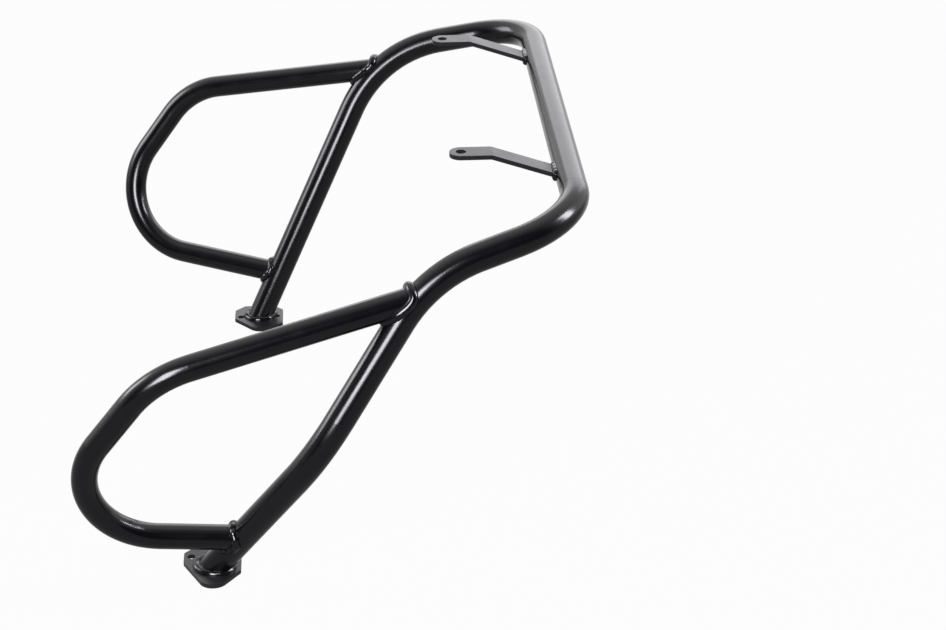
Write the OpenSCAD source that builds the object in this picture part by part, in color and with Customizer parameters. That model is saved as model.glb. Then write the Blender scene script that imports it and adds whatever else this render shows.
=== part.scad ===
// Motorcycle crash bars: one bent hoop tube with a protective loop on each side,
// a foot plate under each leg and two flat brackets behind the crossbar.
// X points to the rider's right, Y forward and Z up.
// The origin is the middle of the crossbar, on its axis.

/* [Tubes] */
// Outer diameter of the hoop tube
hoop_d = 25; // [22:0.5:30]
// Outer diameter of the loop tubes
loop_d = 22; // [18:0.5:24]
// Wall thickness of both tubes
tube_wall = 2; // [1:0.1:3]

// How much the wall is thinned on each face in the bends
bend_thinning = 0.05; // [0.02:0.01:0.2]

/* [Crossbar and shoulders] */
// Half of the crossbar, from its middle to where its axis meets the arm's axis
crossbar_half = 240; // [215:1:270]
// Bend radius between the crossbar and the arms, on the tube's axis
corner_bend_r = 69; // [50:1:90]
// Bend radius at the shoulders, on the tube's axis
shoulder_bend_r = 124; // [100:1:135]
// Sideways place of the right shoulder corner
right_shoulder_out = 268; // [260:1:280]
// How far the right shoulder corner lies behind the crossbar
right_shoulder_back = 127; // [122:1:140]
// How far the right shoulder corner lies below the crossbar
right_shoulder_down = 35; // [28:1:42]
// Sideways place of the left shoulder corner
left_shoulder_out = 273; // [262:1:285]
// How far the left shoulder corner lies behind the crossbar
left_shoulder_back = 153; // [142:1:165]
// How far the left shoulder corner lies below the crossbar
left_shoulder_down = 36; // [28:1:50]

/* [Legs] */
// How far the top of the right foot plate lies below the crossbar's axis
right_foot_down = 309; // [295:1:330]
// How far the top of the left foot plate lies below the crossbar's axis
left_foot_down = 300; // [285:1:320]
// Sideways place of the right leg on its foot plate
right_foot_out = 265; // [255:1:280]
// How far the right leg meets its foot plate behind the crossbar
right_foot_back = 315; // [300:1:330]
// Sideways place of the left leg on its foot plate
left_foot_out = 200; // [190:1:220]
// How far the left leg meets its foot plate behind the crossbar
left_foot_back = 283; // [270:1:300]
// Sideways place of the corner of the bend in the right leg
right_knee_out = 312; // [304:1:320]
// How far that corner lies behind the crossbar
right_knee_back = 222; // [214:1:232]
// How far that corner lies below the crossbar
right_knee_down = 176; // [168:1:186]
// Bend radius in the right leg, on the tube's axis
knee_bend_r = 127; // [90:1:200]

/* [Loops] */
// Sideways place of the loop's upper corner
loop_upper_out = 324; // [310:1:340]
// How far the loop's upper corner lies behind the crossbar
loop_upper_back = 352; // [335:1:370]
// How far the loop's upper corner lies below the crossbar
loop_upper_down = 93; // [80:1:110]
// Sideways place of the loop's lower corner
loop_lower_out = 304; // [290:1:320]
// How far the loop's lower corner lies behind the crossbar
loop_lower_back = 467; // [450:1:490]
// How far the loop's lower corner lies below the crossbar
loop_lower_down = 245; // [230:1:260]
// Bend radius of the loop's upper bend, on the tube's axis
loop_upper_bend_r = 75; // [55:1:90]
// Bend radius of the loop's lower bend, on the tube's axis
loop_lower_bend_r = 69; // [50:1:75]
// Length along the right leg, from its foot to the loop's upper joint
right_upper_joint = 324; // [310:1:334]
// Length along the right leg, from its foot to the loop's lower joint
right_lower_joint = 46; // [38:1:60]
// Length along the left leg, from its foot to the loop's upper joint
left_upper_joint = 290; // [278:1:298]
// Length along the left leg, from its foot to the loop's lower joint
left_lower_joint = 49; // [42:1:65]

/* [Foot plates] */
// Thickness of the foot plates
plate_t = 4; // [3:0.5:8]
// Metal between each bolt hole and the end of its plate
plate_edge = 3; // [2:0.5:8]
// How far the middle of each plate lies behind its leg
plate_back = 2; // [0:0.5:4]
// Distance between the two bolt holes of a plate
plate_hole_pitch = 37; // [35:1:40]
// Diameter of the bolt holes in the foot plates
plate_hole_d = 7; // [5:0.5:7]
// Radius of the rounded nose of the foot plates
plate_nose_r = 13; // [8:0.5:18]
// Size of the cut corners at the back of each plate, fore and aft
plate_cut = 10; // [2:0.5:12]
// How far the right plate's nose centre lies outside its leg
right_nose = 16; // [12:0.5:20]
// How far the right plate's rear corner lies inside its leg
right_rear_corner = 8; // [4:0.5:12]
// How far the right plate's front corner lies outside its leg
right_front_corner = 7; // [2:0.5:10]
// How far the right plate's straight edge lies inside its leg
right_tail = 32; // [26:0.5:40]
// How far the right plate's holes lie inside its leg
right_hole_in = 16; // [15:0.5:20]
// How far the left plate's nose centre lies inside its leg
left_nose = 19; // [14:0.5:24]
// How far the left plate's rear corner lies inside its leg
left_rear_corner = 8; // [5:0.5:12]
// How far the left plate's front corner lies inside its leg
left_front_corner = 20; // [12:0.5:22]
// How far the left plate's straight edge lies outside its leg
left_tail = 20; // [18:0.5:30]
// How far the left plate's holes lie inside its leg
left_hole_in = 5; // [2:0.5:8]

/* [Brackets] */
// Sideways place of each bracket on the crossbar
bracket_side = 143; // [80:1:160]
// Width of the bracket's flat bar
bracket_w = 20; // [18:0.5:30]
// Thickness of the bracket's flat bar
bracket_t = 4; // [3:0.5:6]
// How far the bracket's bolt hole lies behind the crossbar's axis
bracket_reach = 93; // [85:1:120]
// How far the bracket's bend lies behind the crossbar's axis
bracket_bend_back = 67; // [50:1:72]
// Height of the bracket's level end above the crossbar's axis
bracket_rise = 19.5; // [14:0.5:24]
// How far below the crossbar's axis the bracket's slope aims
bracket_aim_down = 3; // [0:0.5:4]
// Bend radius of the bracket, on its middle layer
bracket_bend_r = 8; // [5:0.5:12]
// Diameter of the bolt hole in the bracket
bracket_hole_d = 9; // [6.5:0.5:10]

/* [Welds] */
// Thickness of the weld beads around the loops' ends and the brackets
bead = 3.5; // [2:0.25:4]
// Thickness of the weld beads around the feet
foot_bead = 2.5; // [1.5:0.25:3]

/* [Hidden] */

// Facets of a tube's round section, and of a full turn of a tube bend
section_fn = 48;
sweep_fn = 120;
// Cutters run this much past the faces that they cut
over = 1;
// Straight lengths of tube and bar lap over the ends of the bends by this much
lap = 1;
// The straight sides of a foot plate run this far inside the edge of its round nose
nose_lap = 0.05;
// Size of the blocks that cut the legs off below their foot plates' tops
foot_block = 120;

// Length of the foot plates, fore and aft
plate_l = plate_hole_pitch + plate_hole_d + 2 * plate_edge;

coat = [0.06, 0.06, 0.065];
bead_coat = [0.03, 0.03, 0.035];

// Corners of the hoop's axis, from the right foot over the crossbar to the left foot
right_foot = [right_foot_out, -right_foot_back, -right_foot_down];
right_knee = [right_knee_out, -right_knee_back, -right_knee_down];
right_shoulder = [right_shoulder_out, -right_shoulder_back, -right_shoulder_down];
left_shoulder = [-left_shoulder_out, -left_shoulder_back, -left_shoulder_down];
left_foot = [-left_foot_out, -left_foot_back, -left_foot_down];
hoop_path = [right_foot, right_knee, right_shoulder, [crossbar_half, 0, 0],
             [-crossbar_half, 0, 0], left_shoulder, left_foot];
hoop_radii = [0, knee_bend_r, shoulder_bend_r, corner_bend_r, corner_bend_r, shoulder_bend_r, 0];

// Corners of each loop's axis, from its upper joint to its lower joint
right_loop_path = [point_along(hoop_path, hoop_radii, right_upper_joint),
                   [loop_upper_out, -loop_upper_back, -loop_upper_down],
                   [loop_lower_out, -loop_lower_back, -loop_lower_down],
                   point_along(hoop_path, hoop_radii, right_lower_joint)];
left_loop_path = [point_along(reversed(hoop_path), reversed(hoop_radii), left_upper_joint),
                  [-loop_upper_out, -loop_upper_back, -loop_upper_down],
                  [-loop_lower_out, -loop_lower_back, -loop_lower_down],
                  point_along(reversed(hoop_path), reversed(hoop_radii), left_lower_joint)];
loop_radii = [0, loop_upper_bend_r, loop_lower_bend_r, 0];

// Height above the hoop's axis at which the sides of a loop tube meet the hoop
cope_side = sqrt(pow(hoop_d / 2, 2) - pow(loop_d / 2, 2));

// Vector helpers
function unit(v) = v / norm(v);
function reversed(list) = [for (i = [len(list) - 1:-1:0]) list[i]];
function across(z) = unit(cross(abs(z.z) < 0.9 ? [0, 0, 1] : [1, 0, 0], z));

// Angle by which a path turns at its corner i, and the arc's length and setback there
function turn_at(p, i) = acos(unit(p[i] - p[i - 1]) * unit(p[i + 1] - p[i]));
function arc_length(p, r, i) = r[i] * turn_at(p, i) * PI / 180;
function setback(p, r, i) = r[i] * tan(turn_at(p, i) / 2);

// Where the arc at corner i begins and ends
function arc_start(p, r, i) =
    i == 0 || i == len(p) - 1 ? p[i] : p[i] - unit(p[i] - p[i - 1]) * setback(p, r, i);
function arc_end(p, r, i) =
    i == 0 || i == len(p) - 1 ? p[i] : p[i] + unit(p[i + 1] - p[i]) * setback(p, r, i);

// Direction from the start of the arc at corner i to its centre
function arc_inward(p, i) =
    let (along_in = unit(p[i] - p[i - 1]), along_out = unit(p[i + 1] - p[i]))
    unit(along_out - (along_in * along_out) * along_in);

// Point on the arc at corner i, an angle after its start
function arc_point(p, r, i, angle) =
    let (inward = arc_inward(p, i), forward = unit(p[i] - p[i - 1]))
    arc_start(p, r, i) + r[i] * ((1 - cos(angle)) * inward + sin(angle) * forward);

// Point at a distance along a path with rounded corners, measured from its first point
function point_along(p, r, distance, i = 0) =
    let (a = arc_end(p, r, i), b = arc_start(p, r, i + 1), straight = norm(b - a))
    distance <= straight || i == len(p) - 2 ? a + unit(b - a) * distance :
    let (rest = distance - straight, arc = arc_length(p, r, i + 1))
    rest <= arc ? arc_point(p, r, i + 1, rest / r[i + 1] * 180 / PI) :
    point_along(p, r, rest - arc, i + 1);

// Same path with its first and last straights made longer
function stretched(p, extra) =
    let (n = len(p) - 1)
    [for (i = [0:n])
        i == 0 ? p[0] + unit(p[0] - p[1]) * extra :
        i == n ? p[n] + unit(p[n] - p[n - 1]) * extra : p[i]];

// Puts its children with their X, Y and Z along three axes, at a place
module placed(x, y, z, at) {
    multmatrix([[x.x, y.x, z.x, at.x], [x.y, y.y, z.y, at.y], [x.z, y.z, z.z, at.z], [0, 0, 0, 1]])
        children();
}

// Round bar between two points
module round_bar(a, b, d) {
    z = unit(b - a);
    x = across(z);
    placed(x, cross(z, x), z, a) cylinder(h = norm(b - a), d = d, $fn = section_fn);
}

// Straight tube between two points
module straight_tube(a, b, d) {
    slant = unit(b - a);
    difference() {
        round_bar(a, b, d);
        round_bar(a - slant * over, b + slant * over, d - 2 * tube_wall);
    }
}

// Arc of a path's corner i, swept with the 2D children
module swept_arc(p, r, i) {
    inward = arc_inward(p, i);
    forward = unit(p[i] - p[i - 1]);
    placed(-inward, forward, cross(-inward, forward), arc_start(p, r, i) + inward * r[i])
        rotate_extrude(angle = turn_at(p, i), $fn = sweep_fn) translate([r[i], 0]) children();
}

// Ends of the straight from corner i to the next one, each lapped over its bend
function lap_start(p, r, i) = arc_end(p, r, i) - unit(p[i + 1] - p[i]) * lap;
function lap_end(p, r, i) = arc_start(p, r, i + 1) + unit(p[i + 1] - p[i]) * lap;

// Solid bar along a path with rounded corners
module bent_bar(p, r, d) {
    for (i = [0:len(p) - 2]) round_bar(lap_start(p, r, i), lap_end(p, r, i), d);
    for (i = [1:len(p) - 2]) swept_arc(p, r, i) circle(d = d - 2 * bend_thinning, $fn = section_fn);
}

// Tube along a path with rounded corners
module bent_tube(p, r, d) {
    for (i = [0:len(p) - 2]) straight_tube(lap_start(p, r, i), lap_end(p, r, i), d);
    for (i = [1:len(p) - 2]) swept_arc(p, r, i) difference() {
        circle(d = d - 2 * bend_thinning, $fn = section_fn);
        circle(d = d - 2 * tube_wall + 2 * bend_thinning, $fn = section_fn);
    }
}

// Block under the top of a foot plate
module below_foot(foot) {
    translate([foot.x - foot_block / 2, foot.y - foot_block / 2, foot.z - foot_block])
        cube(foot_block);
}

// Outside of the hoop tube as a solid, made thicker where extra is given
module hoop_bar(extra = 0) {
    bent_bar(stretched(hoop_path, hoop_d), hoop_radii, hoop_d + 2 * extra);
}

module main_hoop() {
    color(coat) difference() {
        bent_tube(stretched(hoop_path, hoop_d), hoop_radii, hoop_d);
        below_foot(right_foot);
        below_foot(left_foot);
    }
}

module side_loop(p) {
    color(coat) difference() {
        bent_tube(p, loop_radii, loop_d);
        hoop_bar();
    }
}

module right_loop() {
    side_loop(right_loop_path);
}

module left_loop() {
    side_loop(left_loop_path);
}

// Weld around a loop's end, from the joint on the hoop's axis towards the loop's next corner
module loop_weld(joint, corner) {
    slant = unit(corner - joint);
    color(bead_coat) difference() {
        intersection() {
            round_bar(joint + slant * (cope_side - bead / 2), corner, loop_d + 2 * bead);
            hoop_bar(bead);
        }
        round_bar(joint, corner, loop_d);
        hoop_bar();
    }
}

module right_upper_weld() {
    loop_weld(right_loop_path[0], right_loop_path[1]);
}

module right_lower_weld() {
    loop_weld(right_loop_path[3], right_loop_path[2]);
}

module left_upper_weld() {
    loop_weld(left_loop_path[0], left_loop_path[1]);
}

module left_lower_weld() {
    loop_weld(left_loop_path[3], left_loop_path[2]);
}

// Point where a line from a circle's outside touches the circle, on its left or right side
function touch_point(from, centre, r, side) =
    let (v = centre - from, l = norm(v), a = side * asin(r / l), s = sqrt(l * l - r * r))
    from + [cos(a) * v.x - sin(a) * v.y, sin(a) * v.x + cos(a) * v.y] / l * s;

// Foot plate under the end of a leg, with its nose towards the rider's right.
// Here X runs forward and Y towards the nose, with the leg at the origin.
// The corners lie at the plate's two ends, and so does a bolt hole each.
module foot_plate(foot, nose, rear_corner, front_corner, tail, hole_at) {
    rear = -plate_back - plate_l / 2;
    front = -plate_back + plate_l / 2;
    nose_at = [0, nose];
    touch_r = plate_nose_r - nose_lap;
    color(coat) placed([0, 1, 0], [1, 0, 0], [0, 0, -1], foot) difference() {
        union() {
            linear_extrude(plate_t)
                polygon([[rear + plate_cut, tail], [rear, tail + plate_cut], [rear, rear_corner],
                         touch_point([rear, rear_corner], nose_at, touch_r, 1),
                         touch_point([front, front_corner], nose_at, touch_r, -1),
                         [front, front_corner], [front, tail + plate_cut], [front - plate_cut, tail]]);
            translate(nose_at) cylinder(h = plate_t, r = plate_nose_r, $fn = section_fn);
        }
        for (side = [-1, 1])
            translate([side * plate_hole_pitch / 2 - plate_back, hole_at, -over])
                cylinder(h = plate_t + 2 * over, d = plate_hole_d, $fn = section_fn);
    }
}

module right_foot_plate() {
    foot_plate(right_foot, right_nose, -right_rear_corner, right_front_corner,
               -right_tail, -right_hole_in);
}

module left_foot_plate() {
    foot_plate(left_foot, left_nose, left_rear_corner, left_front_corner,
               -left_tail, left_hole_in);
}

// Weld around a leg's foot, on top of its plate
module foot_weld(foot, above) {
    slant = unit(above - foot);
    color(bead_coat) difference() {
        intersection() {
            round_bar(foot - slant * hoop_d, above, hoop_d + 2 * foot_bead);
            translate([foot.x - foot_block / 2, foot.y - foot_block / 2, foot.z])
                cube([foot_block, foot_block, foot_bead]);
        }
        round_bar(foot - slant * hoop_d, above, hoop_d);
    }
}

module right_foot_weld() {
    foot_weld(right_foot, right_knee);
}

module left_foot_weld() {
    foot_weld(left_foot, left_shoulder);
}

// Side view of a bracket's flat bar, with X back from the crossbar's axis and Y up
bracket_end = bracket_reach + bracket_w / 2;
bracket_path = [[0, 0, -bracket_aim_down], [bracket_bend_back, 0, bracket_rise],
                [bracket_end, 0, bracket_rise]];
bracket_radii = [0, bracket_bend_r, 0];

// Flat bar along the bracket's path, w wide and t thick
module flat_bar(w, t) {
    p = bracket_path;
    r = bracket_radii;
    for (i = [0, 1]) {
        a = lap_start(p, r, i);
        b = lap_end(p, r, i);
        x = unit(b - a);
        placed(x, [0, 1, 0], cross(x, [0, 1, 0]), a) translate([0, -w / 2, -t / 2])
            cube([norm(b - a), w, t]);
    }
    swept_arc(p, r, 1) square([t - 2 * bend_thinning, w], center = true);
}

// Bracket on the right of the middle, with its root shaped to the crossbar
module bracket() {
    translate([bracket_side, 0, 0]) rotate(-90) difference() {
        intersection() {
            flat_bar(bracket_w, bracket_t);
            union() {
                translate([0, -bracket_w / 2, -hoop_d])
                    cube([bracket_reach, bracket_w, 2 * hoop_d + bracket_rise]);
                translate([bracket_reach, 0, -hoop_d])
                    cylinder(h = 2 * hoop_d + bracket_rise, d = bracket_w, $fn = section_fn);
            }
        }
        translate([bracket_reach, 0, 0])
            cylinder(h = bracket_rise + bracket_t, d = bracket_hole_d, $fn = section_fn);
        crossbar_stub(hoop_d);
    }
}

// Piece of the crossbar at a bracket, as a solid that runs past both sides of its weld
module crossbar_stub(d) {
    rotate([90, 0, 0])
        cylinder(h = bracket_w + 2 * (bead + over), d = d, center = true, $fn = section_fn);
}

module right_bracket() {
    color(coat) bracket();
}

module left_bracket() {
    color(coat) mirror([1, 0, 0]) bracket();
}

// Weld around a bracket's root
module bracket_weld() {
    translate([bracket_side, 0, 0]) rotate(-90) difference() {
        intersection() {
            flat_bar(bracket_w + 2 * bead, bracket_t + 2 * bead);
            crossbar_stub(hoop_d + 2 * bead);
        }
        flat_bar(bracket_w, bracket_t);
        crossbar_stub(hoop_d);
    }
}

module right_bracket_weld() {
    color(bead_coat) bracket_weld();
}

module left_bracket_weld() {
    color(bead_coat) mirror([1, 0, 0]) bracket_weld();
}

main_hoop();
right_loop();
left_loop();
right_foot_plate();
left_foot_plate();
right_bracket();
left_bracket();
right_upper_weld();
right_lower_weld();
left_upper_weld();
left_lower_weld();
right_foot_weld();
left_foot_weld();
right_bracket_weld();
left_bracket_weld();
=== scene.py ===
import math

import bpy
from mathutils import Matrix, Vector


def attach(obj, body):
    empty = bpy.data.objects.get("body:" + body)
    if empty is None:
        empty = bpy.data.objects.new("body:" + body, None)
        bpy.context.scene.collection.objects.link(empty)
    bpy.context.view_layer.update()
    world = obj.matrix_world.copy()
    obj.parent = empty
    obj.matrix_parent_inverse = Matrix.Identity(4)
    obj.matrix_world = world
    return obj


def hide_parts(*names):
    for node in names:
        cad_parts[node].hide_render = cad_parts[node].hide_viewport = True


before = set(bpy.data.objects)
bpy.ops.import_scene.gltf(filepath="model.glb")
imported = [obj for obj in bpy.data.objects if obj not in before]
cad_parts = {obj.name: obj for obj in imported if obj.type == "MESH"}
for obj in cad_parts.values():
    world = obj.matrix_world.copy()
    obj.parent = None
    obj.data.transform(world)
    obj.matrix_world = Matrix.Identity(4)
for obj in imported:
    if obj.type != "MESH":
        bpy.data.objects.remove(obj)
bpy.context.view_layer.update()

MM = 0.001
FULL_TURN = 2 * math.pi
WHITE = (1, 1, 1, 1)

# Camera, from the photograph's viewing angle
CAMERA_AT = Vector((1.86455, -0.20052, 0.73523))
CAMERA_RIGHT = Vector((0.067958, 0.997688, 0.000799))
CAMERA_FORWARD = Vector((-0.890798, 0.061038, -0.450282))
CLIP_START = 0.05
FOCAL_PX = 2182.0
IMAGE_W = 946
SENSOR_MM = 36.0

# Sizes that the weld beads follow, as in the part
HOOP_R = 12.5 * MM
LOOP_R = 11.0 * MM
HOOP_PATH = [(265, -315, -309), (312, -222, -176), (268, -127, -35), (240, 0, 0),
             (-240, 0, 0), (-273, -153, -36), (-200, -283, -300)]
HOOP_BENDS = [0, 127, 124, 69, 69, 124, 0]
LOOP_CORNERS = [(324, -352, -93), (304, -467, -245)]
RIGHT_JOINTS = (324, 46)
LEFT_JOINTS = (290, 49)
BRACKET_SIDE = 143 * MM
BRACKET_W = 20 * MM
BRACKET_T = 4 * MM
BRACKET_RUN = 67
BRACKET_CLIMB = 22.5
BRACKET_AIM_DOWN = 3 * MM

# Fineness of the lines and meshes of the beads
BEND_STEP = 1.5 * MM
LINE_POINTS = 96
WIDE_SIDE_POINTS = 24
NARROW_SIDE_POINTS = 6
COPE_REACH = 60 * MM
COPE_HALVINGS = 24
MIN_RIPPLES = 6
RINGS_PER_RIPPLE = 10
BEAD_SIDES = 14
# Share of a line over which its direction is taken
LOOK_AHEAD = 0.004
# How far the crown of a ripple runs ahead of its sides, as a share of the bead's radius
CROWN_LEAN = 0.35
# Slow changes of a bead's size: share of its radius, waves around the line, phase
DRIFTS = [(0.04, 3, 1.3), (0.02, 7, 0.0)]

# Powder coat: scale of the cloudy sheen, of the orange peel and of the dust nibs in it
CLOUD_SCALE = 45
PEEL_SCALE = 620
NIB_SCALE = 1500
NIB_SHARE = 0.35
PEEL_DEPTH = 0.25 * MM
TINT_LOW, TINT_HIGH = 0.8, 1.25

# Floor, and how much of plain white it shows to the camera
FLOOR_Z = -0.3145
FLOOR_HALF = 30
FLOOR_GREY = 0.2
FLOOR_ROUGHNESS = 0.9
FLOOR_WHITE = 0.97

# World as the object shows it: white on the far side, dark towards the camera's side
SKY_FROM, SKY_TO = -0.35, 0.5
SKY_FAR, SKY_NEAR = 1.0, 0.03
# The same below the horizon, where it stands for the floor
GROUND_FROM, GROUND_TO = -0.9, -0.45
GROUND_FAR, GROUND_NEAR = 0.86, 0.3
ROOM_COLOUR = (0.9, 0.93, 1.0, 1)
ROOM_STRENGTH = 0.25

LAMP_TINT = (0.94, 0.94, 1.0)
LAMPS_AIM = (0.0, -0.2, -0.15)


def metres(points):
    return [Vector(p) * MM for p in points]


def rounded_path(points, bends):
    """Points along a path whose corners have the given bend radii."""
    out = [points[0].copy()]
    for i in range(1, len(points) - 1):
        before = (points[i] - points[i - 1]).normalized()
        after = (points[i + 1] - points[i]).normalized()
        turn = before.angle(after)
        radius = bends[i] * MM
        inward = (after - before * before.dot(after)).normalized()
        start = points[i] - before * radius * math.tan(turn / 2)
        count = max(2, int(radius * turn / BEND_STEP))
        for k in range(count + 1):
            a = turn * k / count
            out.append(start + radius * ((1 - math.cos(a)) * inward + math.sin(a) * before))
    out.append(points[-1].copy())
    return out


def point_along(path, distance):
    for a, b in zip(path, path[1:]):
        length = (b - a).length
        if distance <= length:
            return a + (b - a) * (distance / length)
        distance -= length
    return path[-1].copy()


def distance_to_segment(point, a, b):
    along = b - a
    t = max(0.0, min(1.0, (point - a).dot(along) / along.length_squared))
    return (point - a - along * t).length


def cope_line(joint, corner, path):
    """Closed line where a loop tube meets the outside of the hoop."""
    slant = (corner - joint).normalized()
    side = slant.orthogonal().normalized()
    other = slant.cross(side)
    near = [p for p in path if (p - joint).length < COPE_REACH]
    first, last = path.index(near[0]), path.index(near[-1])
    local = path[max(0, first - 1):last + 2]
    line = []
    for k in range(LINE_POINTS):
        a = FULL_TURN * k / LINE_POINTS
        start = joint + LOOP_R * (math.cos(a) * side + math.sin(a) * other)
        low, high = 0.0, COPE_REACH
        for _ in range(COPE_HALVINGS):
            half = (low + high) / 2
            point = start + slant * half
            if min(distance_to_segment(point, p, q) for p, q in zip(local, local[1:])) < HOOP_R:
                low = half
            else:
                high = half
        line.append(start + slant * high)
    return line


def foot_line(foot, above):
    """Closed line where a leg meets the top of its foot plate."""
    up = (above - foot).normalized()
    flat = Vector((up.x, up.y, 0)).normalized()
    side = Vector((-flat.y, flat.x, 0))
    line = []
    for k in range(LINE_POINTS):
        a = FULL_TURN * k / LINE_POINTS
        line.append(foot + HOOP_R * (math.cos(a) / up.z * flat + math.sin(a) * side))
    return line


def bracket_line(side):
    """Closed line where a bracket's slope meets the crossbar."""
    slope = Vector((0, -BRACKET_RUN, BRACKET_CLIMB)).normalized()
    normal = Vector((0, BRACKET_CLIMB, BRACKET_RUN)).normalized()
    line = []
    corners = [(-1, -1), (1, -1), (1, 1), (-1, 1)]
    for (x0, z0), (x1, z1) in zip(corners, corners[1:] + corners[:1]):
        steps = WIDE_SIDE_POINTS if x0 != x1 else NARROW_SIDE_POINTS
        for k in range(steps):
            t = k / steps
            x = (x0 + (x1 - x0) * t) * BRACKET_W / 2
            z = (z0 + (z1 - z0) * t) * BRACKET_T / 2
            start = Vector((side * BRACKET_SIDE + x, 0, -BRACKET_AIM_DOWN)) + normal * z
            # Distance along the slope at which the line leaves the crossbar's round
            b = start.y * slope.y + start.z * slope.z
            c = start.y ** 2 + start.z ** 2 - HOOP_R ** 2
            line.append(start + slope * (-b + math.sqrt(b * b - c)))
    return line


def new_object(name, data):
    obj = bpy.data.objects.new(name, data)
    bpy.context.scene.collection.objects.link(obj)
    return obj


def bead(joint, line, radius, pitch, ripple):
    """Weld bead along a closed line, with ripples of the given share of its radius."""
    closed = line + line[:1]
    total = sum((b - a).length for a, b in zip(closed, closed[1:]))
    ripples = max(MIN_RIPPLES, round(total / pitch))
    rings = ripples * RINGS_PER_RIPPLE
    centre_of_line = sum(line, Vector()) / len(line)
    verts, faces = [], []
    for k in range(rings):
        s = total * k / rings
        centre = point_along(closed, s)
        ahead = point_along(closed, (s + total * LOOK_AHEAD) % total)
        tangent = (ahead - centre).normalized()
        out = centre - centre_of_line
        out = (out - tangent * out.dot(tangent)).normalized()
        up = tangent.cross(out)
        turn = FULL_TURN * k / rings
        wave = 0.5 + 0.5 * math.cos(ripples * turn)
        drift = sum(share * math.sin(waves * turn + phase) for share, waves, phase in DRIFTS)
        size = radius * (1 - ripple + ripple * wave + drift)
        for j in range(BEAD_SIDES):
            a = FULL_TURN * j / BEAD_SIDES
            lag = CROWN_LEAN * radius * math.cos(a)
            verts.append(centre + size * (math.cos(a) * out + math.sin(a) * up) + tangent * lag)
    for k in range(rings):
        n = (k + 1) % rings
        for j in range(BEAD_SIDES):
            m = (j + 1) % BEAD_SIDES
            faces.append((k * BEAD_SIDES + j, k * BEAD_SIDES + m,
                          n * BEAD_SIDES + m, n * BEAD_SIDES + j))
    mesh = bpy.data.meshes.new(joint + "_bead")
    mesh.from_pydata([tuple(v) for v in verts], [], faces)
    for face in mesh.polygons:
        face.use_smooth = True
    mesh.update()
    mesh.materials.append(weld_coat)
    piece = new_object(joint + "_bead", mesh)
    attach(piece, "root")
    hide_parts(joint + "_weld")


def add(tree, kind, inputs, **settings):
    """New shader node. Each input is joined to an output, or set to a value."""
    node = tree.nodes.new("ShaderNode" + kind)
    for name, value in settings.items():
        setattr(node, name, value)
    for key, value in inputs.items():
        if isinstance(value, bpy.types.NodeSocket):
            tree.links.new(value, node.inputs[key])
        else:
            node.inputs[key].default_value = value
    return node


def fade(tree, value, start, end, at_start, at_end):
    """Value that runs from at_start to at_end while the given one runs from start to end."""
    inputs = {"Value": value, "From Min": start, "From Max": end,
              "To Min": at_start, "To Max": at_end}
    return add(tree, "MapRange", inputs).outputs["Result"]


def math_node(tree, operation, *inputs):
    return add(tree, "Math", dict(enumerate(inputs)), operation=operation).outputs["Value"]


def node_material(name):
    material = bpy.data.materials.new(name)
    material.use_nodes = True
    return material, material.node_tree, material.node_tree.nodes["Principled BSDF"]


def powder_coat(name, base, rough_low, rough_high, peel):
    """Black coat with fine orange peel, faint cloudy sheen and a few dust nibs."""
    material, tree, shader = node_material(name)
    place = add(tree, "TexCoord", {}).outputs["Object"]

    clouds = add(tree, "TexNoise", {"Vector": place, "Scale": CLOUD_SCALE, "Detail": 4})
    rough = fade(tree, clouds.outputs["Fac"], 0.3, 0.7, rough_low, rough_high)
    tint = add(tree, "Mix", {"Factor": clouds.outputs["Fac"],
                             "A": (*[c * TINT_LOW for c in base], 1),
                             "B": (*[c * TINT_HIGH for c in base], 1)}, data_type="RGBA")

    orange = add(tree, "TexNoise", {"Vector": place, "Scale": PEEL_SCALE, "Detail": 2})
    nibs = add(tree, "TexVoronoi", {"Vector": place, "Scale": NIB_SCALE})
    height = math_node(tree, "MULTIPLY_ADD", nibs.outputs["Distance"], NIB_SHARE,
                       orange.outputs["Fac"])
    bump = add(tree, "Bump", {"Strength": peel, "Distance": PEEL_DEPTH, "Height": height})

    tree.links.new(rough, shader.inputs["Roughness"])
    tree.links.new(tint.outputs["Result"], shader.inputs["Base Color"])
    tree.links.new(bump.outputs["Normal"], shader.inputs["Normal"])
    return material


def dress(node, material):
    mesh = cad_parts[node].data
    if not mesh.materials:
        mesh.materials.append(material)
    for k in range(len(mesh.materials)):
        mesh.materials[k] = material


def soft_light(name, at, size, power):
    light = bpy.data.lights.new(name, "AREA")
    light.color = LAMP_TINT
    light.shape = "RECTANGLE"
    light.size, light.size_y = size
    light.energy = power
    obj = new_object(name, light)
    obj.location = at
    towards = Vector(LAMPS_AIM) - Vector(at)
    obj.rotation_euler = towards.to_track_quat("-Z", "Y").to_euler()


# Materials
coat = powder_coat("black_powder_coat", (0.0015, 0.0015, 0.0025), 0.18, 0.23, 0.01)
# Plates: the same black powder coat, but rougher, and with a lighter base colour that is painted
# light. It stands for the brighter reflection that their flat faces catch.
plate_coat_painted_light = powder_coat("plate_powder_coat_painted_light", (0.008, 0.008, 0.010), 0.32, 0.40, 0.03)
weld_coat = powder_coat("coated_weld_bead", (0.0025, 0.0025, 0.0035), 0.12, 0.16, 0.0)
for node in ("main_hoop", "right_loop", "left_loop"):
    dress(node, coat)
for node in ("right_foot_plate", "left_foot_plate", "right_bracket", "left_bracket"):
    dress(node, plate_coat_painted_light)

# Weld beads
hoop_points = metres(HOOP_PATH)
hoop = rounded_path(hoop_points, HOOP_BENDS)
right_corners = metres(LOOP_CORNERS)
left_corners = [Vector((-p.x, p.y, p.z)) for p in right_corners]
right_copes = [cope_line(point_along(hoop, joint * MM), corner, hoop)
               for joint, corner in zip(RIGHT_JOINTS, right_corners)]
left_copes = [cope_line(point_along(hoop[::-1], joint * MM), corner, hoop)
              for joint, corner in zip(LEFT_JOINTS, left_corners)]
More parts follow.
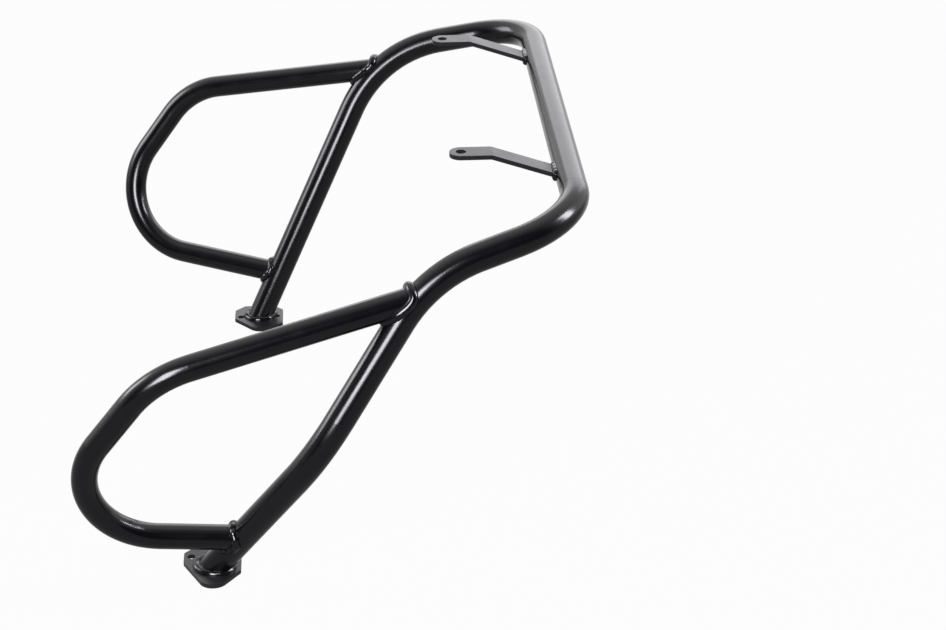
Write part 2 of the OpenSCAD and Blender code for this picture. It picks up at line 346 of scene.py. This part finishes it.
# Joint, line, radius of the bead, length of a ripple and share of the ripples
for joint, line, radius, pitch, ripple in (
        ("right_upper", right_copes[0], 4.4, 6.0, 0.0),
        ("right_lower", right_copes[1], 4.0, 5.5, 0.14),
        ("left_upper", left_copes[0], 4.4, 6.0, 0.05),
        ("left_lower", left_copes[1], 4.0, 5.5, 0.09),
        ("right_foot", foot_line(hoop_points[0], hoop_points[1]), 4.0, 9.0, 0.04),
        ("left_foot", foot_line(hoop_points[-1], hoop_points[-2]), 3.8, 9.0, 0.05),
        ("right_bracket", bracket_line(1), 3.0, 6.0, 0.04),
        ("left_bracket", bracket_line(-1), 3.0, 6.0, 0.04)):
    bead(joint, line, radius * MM, pitch * MM, ripple)

# Floor: white to the camera, with the object's shadow. The object shows the world in its place
floor_mesh = bpy.data.meshes.new("floor")
floor_corners = [(x * FLOOR_HALF, y * FLOOR_HALF, FLOOR_Z)
                 for x, y in ((-1, -1), (1, -1), (1, 1), (-1, 1))]
floor_mesh.from_pydata(floor_corners, [], [(0, 1, 2, 3)])
floor = new_object("floor", floor_mesh)
floor.visible_glossy = False
floor.visible_transmission = False
floor_paint, tree, shader = node_material("floor_paint")
shader.inputs["Base Color"].default_value = (FLOOR_GREY, FLOOR_GREY, FLOOR_GREY, 1)
shader.inputs["Roughness"].default_value = FLOOR_ROUGHNESS
shader.inputs["Specular IOR Level"].default_value = 0.0
rays = add(tree, "LightPath", {}).outputs
share = math_node(tree, "MULTIPLY", rays["Is Camera Ray"], FLOOR_WHITE)
lift = add(tree, "Emission", {"Strength": 1.0})
mix = add(tree, "MixShader", {"Fac": share, 1: shader.outputs["BSDF"], 2: lift.outputs["Emission"]})
tree.links.new(mix.outputs["Shader"], tree.nodes["Material Output"].inputs["Surface"])
floor_paint.cycles.emission_sampling = "NONE"
floor_mesh.materials.append(floor_paint)

# World: plain white to the camera. The object shows that white too, darker towards one side
world = bpy.data.worlds.new("studio")
bpy.context.scene.world = world
world.use_nodes = True
world.cycles.sampling_method = "NONE"
tree = world.node_tree
tree.nodes.clear()
rays = add(tree, "LightPath", {}).outputs
place = add(tree, "TexCoord", {}).outputs["Generated"]
direction = add(tree, "SeparateXYZ", {"Vector": place}).outputs
sky = fade(tree, direction["X"], SKY_FROM, SKY_TO, SKY_FAR, SKY_NEAR)
ground = fade(tree, direction["X"], GROUND_FROM, GROUND_TO, GROUND_FAR, GROUND_NEAR)
below = math_node(tree, "LESS_THAN", direction["Z"], 0.0)
level = add(tree, "Mix", {"Factor": below, "A": sky, "B": ground}).outputs["Result"]
seen = add(tree, "Background", {
    "Color": WHITE, "Strength": math_node(tree, "MAXIMUM", level, rays["Is Camera Ray"])})
room = add(tree, "Background", {"Color": ROOM_COLOUR, "Strength": ROOM_STRENGTH})
shown = math_node(tree, "ADD", rays["Is Camera Ray"], rays["Is Glossy Ray"])
shown = math_node(tree, "ADD", shown, rays["Is Transmission Ray"])
mix = add(tree, "MixShader", {"Fac": shown, 1: room.outputs["Background"],
                              2: seen.outputs["Background"]})
add(tree, "OutputWorld", {"Surface": mix.outputs["Shader"]})

# Lights, each placed where the photograph's streaks reflect it
soft_light("camera_side_softbox", (1.7, -0.8, 0.8), (0.75, 1.0), 52)
soft_light("front_softbox", (0.2, 2.0, 1.25), (0.6, 1.4), 55)
soft_light("rear_softbox", (-0.7, -2.3, 0.8), (1.2, 1.0), 24)
soft_light("far_softbox", (-2.4, 0.45, 0.75), (2.6, 1.5), 20)

# Camera
camera_data = bpy.data.cameras.new("camera")
camera_data.sensor_width = SENSOR_MM
camera_data.lens = FOCAL_PX * SENSOR_MM / IMAGE_W
camera_data.clip_start = CLIP_START
camera = new_object("camera", camera_data)
back = -CAMERA_FORWARD.normalized()
up = back.cross(CAMERA_RIGHT.normalized()).normalized()
right = up.cross(back).normalized()
camera.matrix_world = Matrix.Translation(CAMERA_AT) @ Matrix((right, up, back)).transposed().to_4x4()
bpy.context.scene.camera = camera
bpy.context.scene.view_settings.view_transform = "Standard"
